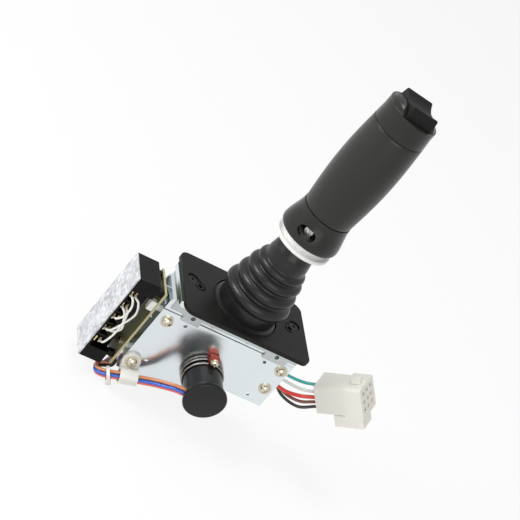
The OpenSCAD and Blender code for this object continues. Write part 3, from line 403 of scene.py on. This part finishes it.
# ---------------------------------------------------------------- frame screws
# Pan head screws with a pressed cross recess and a plain washer, yellowish zinc plated. They
# hold the side plates to the columns.
def screw_tree():
    """A pan head with cross recess over its washer, set on each point of the seed and turned."""
    tree = geometry_tree("pan_head_screw", (("Head Radius", 3.5 * mm), ("Head Height", 2.4 * mm),
                                            ("Washer Radius", 4.4 * mm), ("Washer Thickness",
                                                                          0.8 * mm),
                                            ("Recess Width", 0.75 * mm)))
    given = add(tree, "NodeGroupInput")
    washer = add(tree, "GeometryNodeMeshCylinder")
    washer.inputs["Vertices"].default_value = 48
    join(tree, given, "Washer Radius", washer, "Radius")
    join(tree, given, "Washer Thickness", washer, "Depth")
    half = add(tree, "ShaderNodeMath", operation="MULTIPLY")
    half.inputs[1].default_value = 0.5
    join(tree, given, "Washer Thickness", half, 0)
    lift = add(tree, "ShaderNodeCombineXYZ")
    join(tree, half, 0, lift, "Z")
    seated = add(tree, "GeometryNodeTransform")
    join(tree, washer, "Mesh", seated, "Geometry")
    join(tree, lift, "Vector", seated, "Translation")
    ball = add(tree, "GeometryNodeMeshUVSphere")
    ball.inputs["Segments"].default_value = 48
    ball.inputs["Rings"].default_value = 24
    ball.inputs["Radius"].default_value = 1
    size = add(tree, "ShaderNodeCombineXYZ")
    join(tree, given, "Head Radius", size, "X")
    join(tree, given, "Head Radius", size, "Y")
    join(tree, given, "Head Height", size, "Z")
    base = add(tree, "ShaderNodeCombineXYZ")
    join(tree, given, "Washer Thickness", base, "Z")
    dome = add(tree, "GeometryNodeTransform")
    join(tree, ball, "Mesh", dome, "Geometry")
    join(tree, size, "Vector", dome, "Scale")
    join(tree, base, "Vector", dome, "Translation")
    top = add(tree, "ShaderNodeMath", operation="ADD")
    join(tree, given, "Washer Thickness", top, 0)
    join(tree, given, "Head Height", top, 1)
    crest = add(tree, "ShaderNodeCombineXYZ")
    join(tree, top, 0, crest, "Z")
    arms = []
    for long_axis in ("X", "Y"):
        arm = add(tree, "GeometryNodeMeshCube")
        shape = add(tree, "ShaderNodeCombineXYZ")
        join(tree, given, "Head Radius", shape, long_axis)
        join(tree, given, "Recess Width", shape, "Y" if long_axis == "X" else "X")
        join(tree, given, "Head Height", shape, "Z")
        join(tree, shape, "Vector", arm, "Size")
        placed = add(tree, "GeometryNodeTransform")
        join(tree, arm, "Mesh", placed, "Geometry")
        join(tree, crest, "Vector", placed, "Translation")
        arms.append(placed)
    under = add(tree, "GeometryNodeMeshCube")
    under.inputs["Size"].default_value = (0.02, 0.02, 0.02)
    down = add(tree, "ShaderNodeMath", operation="SUBTRACT")
    join(tree, given, "Washer Thickness", down, 0)
    down.inputs[1].default_value = 0.0104
    below = add(tree, "ShaderNodeCombineXYZ")
    join(tree, down, 0, below, "Z")
    sunk = add(tree, "GeometryNodeTransform")
    join(tree, under, "Mesh", sunk, "Geometry")
    join(tree, below, "Vector", sunk, "Translation")
    cut = add(tree, "GeometryNodeMeshBoolean", operation="DIFFERENCE", solver="EXACT")
    join(tree, dome, "Geometry", cut, "Mesh 1")
    for tool in (*arms, sunk):
        join(tree, tool, "Geometry", cut, "Mesh 2")
    screw = add(tree, "GeometryNodeJoinGeometry")
    join(tree, seated, "Geometry", screw, "Geometry")
    join(tree, cut, "Mesh", screw, "Geometry")
    turn = add(tree, "GeometryNodeInputNamedAttribute", data_type="FLOAT_VECTOR")
    turn.inputs["Name"].default_value = "turn"
    spots = add(tree, "GeometryNodeInstanceOnPoints")
    join(tree, given, "Geometry", spots, "Points")
    join(tree, screw, "Geometry", spots, "Instance")
    join(tree, turn, "Attribute", spots, "Rotation")
    end_tree(tree, given, spots, "Instances")
    return tree


pan_screw = screw_tree()
screw_zinc = finish("yellow_zinc", (0.66, 0.61, 0.5), 0.25, tone=0.3, patch=500, grain=3500,
                    Metallic=1.0)
plate_y = 13.0
column_at = ((-44, -26), (43.9, -24.7), (43.5, -42.4))
clip_screw_at = (-46, -64.2)
front_turn = math.radians(90)
screw_sizes = {"Head Radius": 3.5 * mm, "Head Height": 2.4 * mm, "Washer Radius": 4.4 * mm,
               "Washer Thickness": 0.8 * mm, "Recess Width": 0.75 * mm}
for name, y, facing, places in (
        ("front_frame_screws", -plate_y, 1, column_at),
        ("rear_frame_screws", plate_y, -1, column_at + (clip_screw_at,))):
    points = [(x * mm, y * mm, z * mm) for x, z in places]
    turns = [(facing * front_turn, math.radians(40 * i + z), 0) for i, (x, z) in enumerate(places)]
    piece = grown(name, points, [], pan_screw, screw_sizes, screw_zinc, 30, turns)
    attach(piece, "base")
    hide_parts("front_screws" if facing == 1 else "rear_screws")


# ---------------------------------------------------------------- boot
# Moulded rubber bellows with four folds. Its foot lies in the bezel's seat and its neck hugs
# the lever, so it bends as the lever swings.
def turned(name, outline, material, steps=96, crisp=50):
    """A closed outline of (radius, height) in metres, turned round the lever's axis."""
    shape = bmesh.new()
    rings = []
    for r, z in outline:
        rings.append([shape.verts.new((r * math.cos(2 * math.pi * k / steps),
                                       r * math.sin(2 * math.pi * k / steps), z)) for k in range(steps)])
    for i, ring in enumerate(rings):
        after = rings[(i + 1) % len(rings)]
        for k in range(steps):
            shape.faces.new((ring[k], ring[(k + 1) % steps], after[(k + 1) % steps], after[k]))
    bmesh.ops.recalc_face_normals(shape, faces=shape.faces)
    mesh = bpy.data.meshes.new(name)
    shape.to_mesh(mesh)
    shape.free()
    mesh.materials.append(material)
    return to_piece(name, mesh, crisp)


def boot_radius(z):
    """Outer radius of the bellows in millimetres at a height: a cone, or a fold where that is wider."""
    cone = ((0, 21), (8, 21), (19, 19.8), (28.7, 18), (37, 16.2), (44, 14.7), (48, 14.6), (53.5,
                                                                                           13.7), (60, 11.6))
    reach = cone[-1][1]
    for (z0, r0), (z1, r1) in zip(cone, cone[1:]):
        if z0 <= z <= z1:
            reach = r0 + (r1 - r0) * (z - z0) / (z1 - z0)
    for widest, level, fold in ((24, 14.3, 4.4), (21.8, 24, 4), (19.8, 33, 3.6), (17.4, 40.3, 3)):
        if abs(z - level) < fold:
            reach = max(reach, widest - fold + math.sqrt(fold ** 2 - (z - level) ** 2))
    return reach


boot_rubber = finish("boot_rubber", (0.008, 0.008, 0.0075), 0.32, bump=0.12, bump_mm=0.06,
                     tone=0.5, patch=45,
                     grain=1500, spread=0.2, Specular_IOR_Level=0.36, Sheen_Weight=0.03)
boot_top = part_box("boot")[1][2]
boot_wall = 1.3
levels = [0.6 + 0.4 * i for i in range(149)]
walls = [boot_radius(z) for z in levels]
walls = [(walls[max(i - 1, 0)] + 2 * w + walls[min(i + 1, len(walls) - 1)]) / 4 - 0.03 for i,
         w in enumerate(walls)]
outer = list(zip(walls, levels))
inner = [(r - boot_wall, z) for r, z in outer if z < 58.6]
neck_r, neck_z = 6.4, boot_top / mm
boot_outline = (
    [(19.6, -1.2), (22.6, -1.2), (23.1, -0.9), (23.15, -0.1), (22.7, 0.25), (21.4, 0.3)] + outer
    + [(11.2, neck_z - 0.5), (10.7, neck_z), (neck_r + 0.4, neck_z), (neck_r, neck_z - 0.4),
       (neck_r, 59.6)]
    + inner[::-1])
boot = turned("rubber_boot", [(r * mm, z * mm) for r, z in boot_outline], boot_rubber)
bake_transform(boot, "base", "lever", start=(0, 0, 0.5 * mm), end=(0, 0, 50 * mm))
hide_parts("boot")

# ---------------------------------------------------------------- lock ring
# Turned aluminium: a matt white anodised rim to pull up with two fingers, and a polished neck
# above it that runs into the grip's collar.
ring_metal = finish("lock_ring_metal", (0.82, 0.82, 0.8), 0.42, bump=0.05, tone=0.1, patch=200,
                    spread=0.1,
                    Metallic=0.25)
eased("lock_ring", 0.25, ring_metal, "lock", name="lock_ring_turned")

# The ring's return spring stands between the lock rod and the plug in the lever tube. It is
# drawn as cold coiled wire that shortens when the ring is lifted.
rod_top, plug_under = 72.4, 82.2
coil_turns, coil_steps, coil_r = 5, 100, 2.3
coil = []
for k in range(coil_steps + 1):
    angle = 2 * math.pi * coil_turns * k / coil_steps
    level = rod_top + 0.4 + (plug_under - rod_top - 0.8) * k / coil_steps
    coil.append(Vector((coil_r * math.cos(angle), coil_r * math.sin(angle), level)) * mm)
spring = wire_piece("lock_return_spring", coil, 0.4 * mm, spring_steel)
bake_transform(spring, "lock", "lever", start=(0, 0, rod_top * mm), end=(0, 0, plug_under * mm))
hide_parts("lock_spring")

# ---------------------------------------------------------------- grip
# A hard satin moulding for the collar and the cap, with a softer rubber sleeve between them
# over a rigid core. The sleeve is fullest half way up.
grip_plastic = finish("grip_plastic", (0.014, 0.0142, 0.0125), 0.24, bump=0.1, bump_mm=0.05,
                      tone=0.25, patch=70,
                      grain=2600, spread=0.12, Specular_IOR_Level=0.36)
grip_rubber = finish("grip_rubber", (0.017, 0.0173, 0.0148), 0.33, bump=0.12, bump_mm=0.05,
                     tone=0.22, patch=50,
                     grain=2200, spread=0.12, Specular_IOR_Level=0.34, Sheen_Weight=0.02)
paint(grip_plastic, "grip_core")
eased("grip_collar", 0.25, grip_plastic, "lever", name="grip_collar_moulding")
eased("grip_cap", 0.35, grip_plastic, "lever", name="grip_cap_moulding")
eased("rocker", 0.55, black_plastic, "steering_rocker", name="thumb_rocker")
sleeve_lo, sleeve_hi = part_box("grip_sleeve")
seam, crown = sleeve_lo[2] / mm, sleeve_hi[2] / mm
core_r, seam_r, crown_r, bulge = 12.0, 17.2, 18.4, 2.0
sleeve_outline = [(core_r, seam), (seam_r - 0.7, seam), (seam_r - 0.15, seam + 0.25)]
for i in range(33):
    k = 0.01 + 0.98 * i / 32
    sleeve_outline.append((seam_r + (crown_r - seam_r) * k + bulge * math.sin(math.pi * k) - 0.02,
                           seam + (crown - seam) * k))
sleeve_outline += [(crown_r - 0.15, crown - 0.25), (crown_r - 0.7, crown), (core_r, crown)]
sleeve = turned("grip_sleeve_rubber", [(r * mm, z * mm) for r, z in sleeve_outline], grip_rubber)
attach(sleeve, "lever")
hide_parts("grip_sleeve")

# ---------------------------------------------------------------- sensor
# A rotary sensor in a moulded body under a smooth rubber cover, held by a twin wire hose clip
# whose screw pulls a copper coloured block.
cover_rubber = finish("cover_rubber", (0.009, 0.0095, 0.0095), 0.26, bump=0.05, tone=0.3, patch=60,
                      spread=0.1,
                      Specular_IOR_Level=0.3)
pot_plastic = finish("sensor_body", (0.05, 0.08, 0.12), 0.4, tone=0.2)
clamp_steel = finish("clamp_wire", (0.3, 0.28, 0.26), 0.28, tone=0.3, Metallic=1.0)
copper_red = finish("clamp_block_copper", (0.5, 0.085, 0.05), 0.3, tone=0.3, patch=400,
                    Metallic=0.7)
brass = finish("tinned_brass", (0.74, 0.6, 0.33), 0.25, tone=0.3, patch=600, Metallic=1.0)
eased("pot_cover", 0.3, cover_rubber, "base", name="sensor_cover")
paint(pot_plastic, "pot_body")
paint(brass, "pot_nut")
paint(clamp_steel, "clamp_wires")
eased("clamp_block", 0.4, copper_red, "base", name="clamp_nut_block")
eased("clamp_screw", 0.12, screw_zinc, "base", name="clamp_pan_screw")


# ---------------------------------------------------------------- circuit board and control module
# A glass fibre board on nylon posts. The module on it is a glossy black case, open at the
# sensor side where its terminals stand, and closed outside by cloudy cast resin.
def board_finish():
    """Green-brown solder resist on the faces and pale cut glass fibre round the edge."""
    material = finish("board_laminate", (0.17, 0.17, 0.065), 0.38, tone=0.5, patch=160, grain=1800,
                      bump=0.2)
    tree = material.node_tree
    shader = tree.nodes["Principled BSDF"]
    group = next(n for n in tree.nodes if n.type == "GROUP")
    facing = add(tree, "ShaderNodeNewGeometry")
    split = add(tree, "ShaderNodeSeparateXYZ")
    face = add(tree, "ShaderNodeMath", operation="ABSOLUTE")
    mask = add(tree, "ShaderNodeMath", operation="GREATER_THAN")
    mask.inputs[1].default_value = 0.7
    mix = add(tree, "ShaderNodeMix", data_type="RGBA")
    mix.inputs["A"].default_value = (0.47, 0.43, 0.24, 1)
    join(tree, facing, "Normal", split, 0)
    join(tree, split, "X", face, 0)
    join(tree, face, 0, mask, 0)
    join(tree, mask, 0, mix, "Factor")
    join(tree, group, "Colour", mix, "B")
    join(tree, mix, "Result", shader, "Base Color")
    return material


def resin_finish():
    """Cloudy grey-white resin: swirls of clearer and milkier stuff with an uneven cast skin."""
    material = finish("cast_resin", (0.5, 0.51, 0.53), 0.26, tone=0.3, patch=90, grain=260,
                      bump=0.5,
                      bump_mm=0.25, spread=0.25, Coat_Weight=0.3, Coat_Roughness=0.1)
    tree = material.node_tree
    shader = tree.nodes["Principled BSDF"]
    group = next(n for n in tree.nodes if n.type == "GROUP")
    place = add(tree, "ShaderNodeTexCoord")
    swirl = add(tree, "ShaderNodeTexNoise")
    swirl.inputs["Scale"].default_value = 130
    swirl.inputs["Detail"].default_value = 5
    swirl.inputs["Distortion"].default_value = 2.2
    ramp = add(tree, "ShaderNodeValToRGB")
    ramp.color_ramp.elements[0].position = 0.38
    ramp.color_ramp.elements[0].color = (0.27, 0.28, 0.3, 1)
    ramp.color_ramp.elements[1].position = 0.6
    ramp.color_ramp.elements[1].color = (0.76, 0.77, 0.8, 1)
    blend = add(tree, "ShaderNodeMix", data_type="RGBA")
    blend.inputs["Factor"].default_value = 0.6
    join(tree, place, "Object", swirl, "Vector")
    join(tree, swirl, "Fac", ramp, "Fac")
    join(tree, group, "Colour", blend, "A")
    join(tree, ramp, "Color", blend, "B")
    join(tree, blend, "Result", shader, "Base Color")
    return material


board = board_finish()
resin = resin_finish()
case_plastic = finish("module_black", (0.004, 0.0038, 0.0035), 0.18, bump=0.06, tone=0.3,
                      patch=120, spread=0.12,
                      Specular_IOR_Level=0.13)
eased("circuit_board", 0.12, board, "base", name="glass_fibre_board")
eased("module_case", 0.25, case_plastic, "base", name="module_housing")
eased("module_resin", 0.2, resin, "base", name="module_cast_face")
eased("terminals", 0.12, brass, "base", name="terminal_blades")
paint(screw_zinc, "board_screws")

# White link wires that bridge the terminals in loops.
white_wire = insulation("white_link_insulation", (0.82, 0.81, 0.75))
bay_z = -16.2
pitch = 10.5
link_y = -13 + 7 - 4.6
terminal_x = (-74.2, -71.2)
link_lines = []
for first, last, x_from, x_to, lean in ((0, 2, 0, 0, 4.2), (1, 3, 0, 1, 5.2), (0, 3, 1, 0, 6.4),
                                        (1, 4, 1, 1, 3.4)):
    z0, z1 = bay_z - 4 - first * pitch, bay_z - 4 - last * pitch
    x0, x1 = terminal_x[x_from], terminal_x[x_to]
    link_lines.append(bowed((
        (x0, link_y + 1.2, z0), (x0 + 0.3, link_y - 1.5, z0 - 0.4), (x0 + lean * 0.5, link_y - 3.4,
                                                                     z0 - 2),
        (x0 + lean, link_y - 3.6, (z0 * 2 + z1) / 3), (x1 + lean, link_y - 3.2 - lean * 0.1,
                                                       (z0 + z1 * 2) / 3),
        (x1 + lean * 0.5, link_y - 3, z1 + 2.2), (x1 + 0.3, link_y - 1.5, z1 + 0.5), (x1,
                                                                                      link_y + 1.2, z1)), 6))
points, edges = [], []
for line in link_lines:
    start = len(points)
    points += line
    edges += [(start + i, start + i + 1) for i in range(len(line) - 1)]
links = grown("terminal_link_wires", points, edges, round_wire, {"Radius": 0.75 * mm, "Sides": 10},
              white_wire, 60)
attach(links, "base")
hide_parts("jumper_wires")

# ---------------------------------------------------------------- nylon parts
# Natural nylon, milky and slightly see-through: the P clip, the tie, the board's posts and
# header, the lead saddle and the plug housing.
nylon = finish("natural_nylon", (0.83, 0.815, 0.745), 0.36, bump=0.06, tone=0.06, patch=90,
               spread=0.1,
               Subsurface_Weight=0.35, Subsurface_Radius=(0.003, 0.0028,
                                                          0.0022), Subsurface_Scale=1.0)
eased("cable_clip", 0.3, nylon, "base", name="wire_p_clip")
eased("cable_tie", 0.25, nylon, "base", name="wire_tie")
eased("board_header", 0.25, nylon, "base", name="board_plug_header")
eased("lead_saddle", 0.3, nylon, "base", name="lead_saddle_nylon")
housing = eased("connector_shell", 0.35, nylon, "base", name="plug_housing")
paint(nylon, "board_posts")
paint(brass, "connector_contacts")
clip_turn = (front_turn, math.radians(25), 0)
clip_fastener = grown("p_clip_screw", [(clip_screw_at[0] * mm, -15.4 * mm, clip_screw_at[1] * mm)],
                      [], pan_screw,
                      screw_sizes, screw_zinc, 30, [clip_turn])
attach(clip_fastener, "base")
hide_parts("clip_screw")

# ---------------------------------------------------------------- sensor wires
# Four insulated wires from the sensor's cover, through the P clip, round in a slack loop and
# up behind the circuit board. They keep side by side as one bundle.
bundle = bowed(((-11.5, -32.4, -56.3), (-17.5, -30.2, -58), (-28, -22.8, -66.2), (-37, -20, -71.3),
                (-43.1, -18.9, -73.6), (-50, -18, -76.4), (-56.5, -16.2, -80), (-60.4, -12.4,
                                                                                -82.6),
                (-59.6, -9, -81.4)), 2)
wire_r = 1.05 * mm
lane_x, lane_low, lane_high = -53.45, -76.2, -71
carried = []
for i in range(len(bundle)):
    ahead = (bundle[min(i + 1, len(bundle) - 1)] - bundle[max(i - 1, 0)]).normalized()
    side = ahead.cross(Vector((0.5, -0.86, 0))) if i == 0 else carried[-1][0]
    carried.append(((side - side.dot(ahead) * ahead).normalized(), ahead))
for shade, colour, (upward, outward), lane_y in (
        ("orange", (0.62, 0.23, 0.1), (2.4, 0.8), -8.9), ("blue", (0.035, 0.13, 0.62), (0, 1.6),
                                                          -6.1),
        ("red", (0.86, 0.16, 0.11), (-2.4, 0.8), -3.3), ("black", (0.018, 0.016, 0.013), (0, -1.4),
                                                         -11.7)):
    route = [(p + upward * mm * side + outward * mm * side.cross(ahead)) / mm
             for p, (side, ahead) in zip(bundle, carried)]
    route += [(lane_x, lane_y, lane_low), (lane_x, lane_y, lane_high)]
    piece = wire_piece(f"sensor_wire_{shade}", bowed(route, 3), wire_r,
                       insulation(f"sensor_{shade}_insulation", colour), 12)
    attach(piece, "base")
    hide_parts(f"wire_{shade}")


# ---------------------------------------------------------------- floor, backdrop and light
# A plain pale floor under the object and soft light: a large lamp up to the left, a smaller one
# above, and a white surround that metal and gloss can mirror.
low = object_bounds()[0][2]
floor_mesh = bpy.data.meshes.new("floor")
reach, under = 3.0, low - 0.001
floor_mesh.from_pydata([(-reach, -reach, under), (reach, -reach, under), (reach, reach, under),
                        (-reach, reach, under)], [], [(0, 1, 2, 3)])
floor = bpy.data.objects.new("floor", floor_mesh)
bpy.context.scene.collection.objects.link(floor)


def seen_rays(tree):
    """A node that gives 1 for the rays that see the surround: camera, glossy and transmission."""
    ray = add(tree, "ShaderNodeLightPath")
    seen = add(tree, "ShaderNodeMath", operation="ADD", use_clamp=True)
    every = add(tree, "ShaderNodeMath", operation="ADD", use_clamp=True)
    join(tree, ray, "Is Camera Ray", seen, 0)
    join(tree, ray, "Is Glossy Ray", seen, 1)
    join(tree, seen, 0, every, 0)
    join(tree, ray, "Is Transmission Ray", every, 1)
    return every


floor_paint = bpy.data.materials.new("pale_floor")
floor_paint.use_nodes = True
tree = floor_paint.node_tree
tree.nodes.clear()
matt = add(tree, "ShaderNodeBsdfDiffuse")
matt.inputs["Color"].default_value = (0.86, 0.86, 0.86, 1)
glow = add(tree, "ShaderNodeEmission")
glow.inputs["Color"].default_value = (1, 1, 1, 1)
mirrored = seen_rays(tree)
share = add(tree, "ShaderNodeMath", operation="MULTIPLY")
share.inputs[1].default_value = 0.86
join(tree, mirrored, 0, share, 0)
mixed = add(tree, "ShaderNodeMixShader")
join(tree, share, 0, mixed, "Fac")
tree.links.new(matt.outputs[0], mixed.inputs[1])
tree.links.new(glow.outputs[0], mixed.inputs[2])
tree.links.new(mixed.outputs[0], add(tree, "ShaderNodeOutputMaterial").inputs["Surface"])
floor_mesh.materials.append(floor_paint)

world = bpy.data.worlds.new("surround")
bpy.context.scene.world = world
world.use_nodes = True
tree = world.node_tree
tree.nodes.clear()
mirrored = seen_rays(tree)
strength = add(tree, "ShaderNodeMath", operation="MULTIPLY_ADD")
join(tree, mirrored, 0, strength, 0)
strength.inputs[1].default_value = 0.55
strength.inputs[2].default_value = 0.45
shine = add(tree, "ShaderNodeBackground")
join(tree, strength, 0, shine, "Strength")
tree.links.new(shine.outputs[0], add(tree, "ShaderNodeOutputWorld").inputs["Surface"])

for name, direction, size, power in (("key", (-0.55, 0.85, 0.7), 0.55, 9), ("top", (0.5, 0.9,
                                                                                    0.35), 0.5, 5),
                                     ("front", (0.2, -0.3, 1.0), 0.8, 4)):
    lamp = bpy.data.lights.new(name, "AREA")
    lamp.size = size
    lamp.energy = power
    light = bpy.data.objects.new(name, lamp)
    away = (direction[0] * view_right + direction[1] * view_up + direction[2] * view_back).normalized()
    light.location = Vector((0, 0, 0.03)) + 1.1 * away
    light.rotation_euler = away.to_track_quat("Z", "Y").to_euler()
    bpy.context.scene.collection.objects.link(light)
bpy.context.scene.view_settings.view_transform = "Standard"
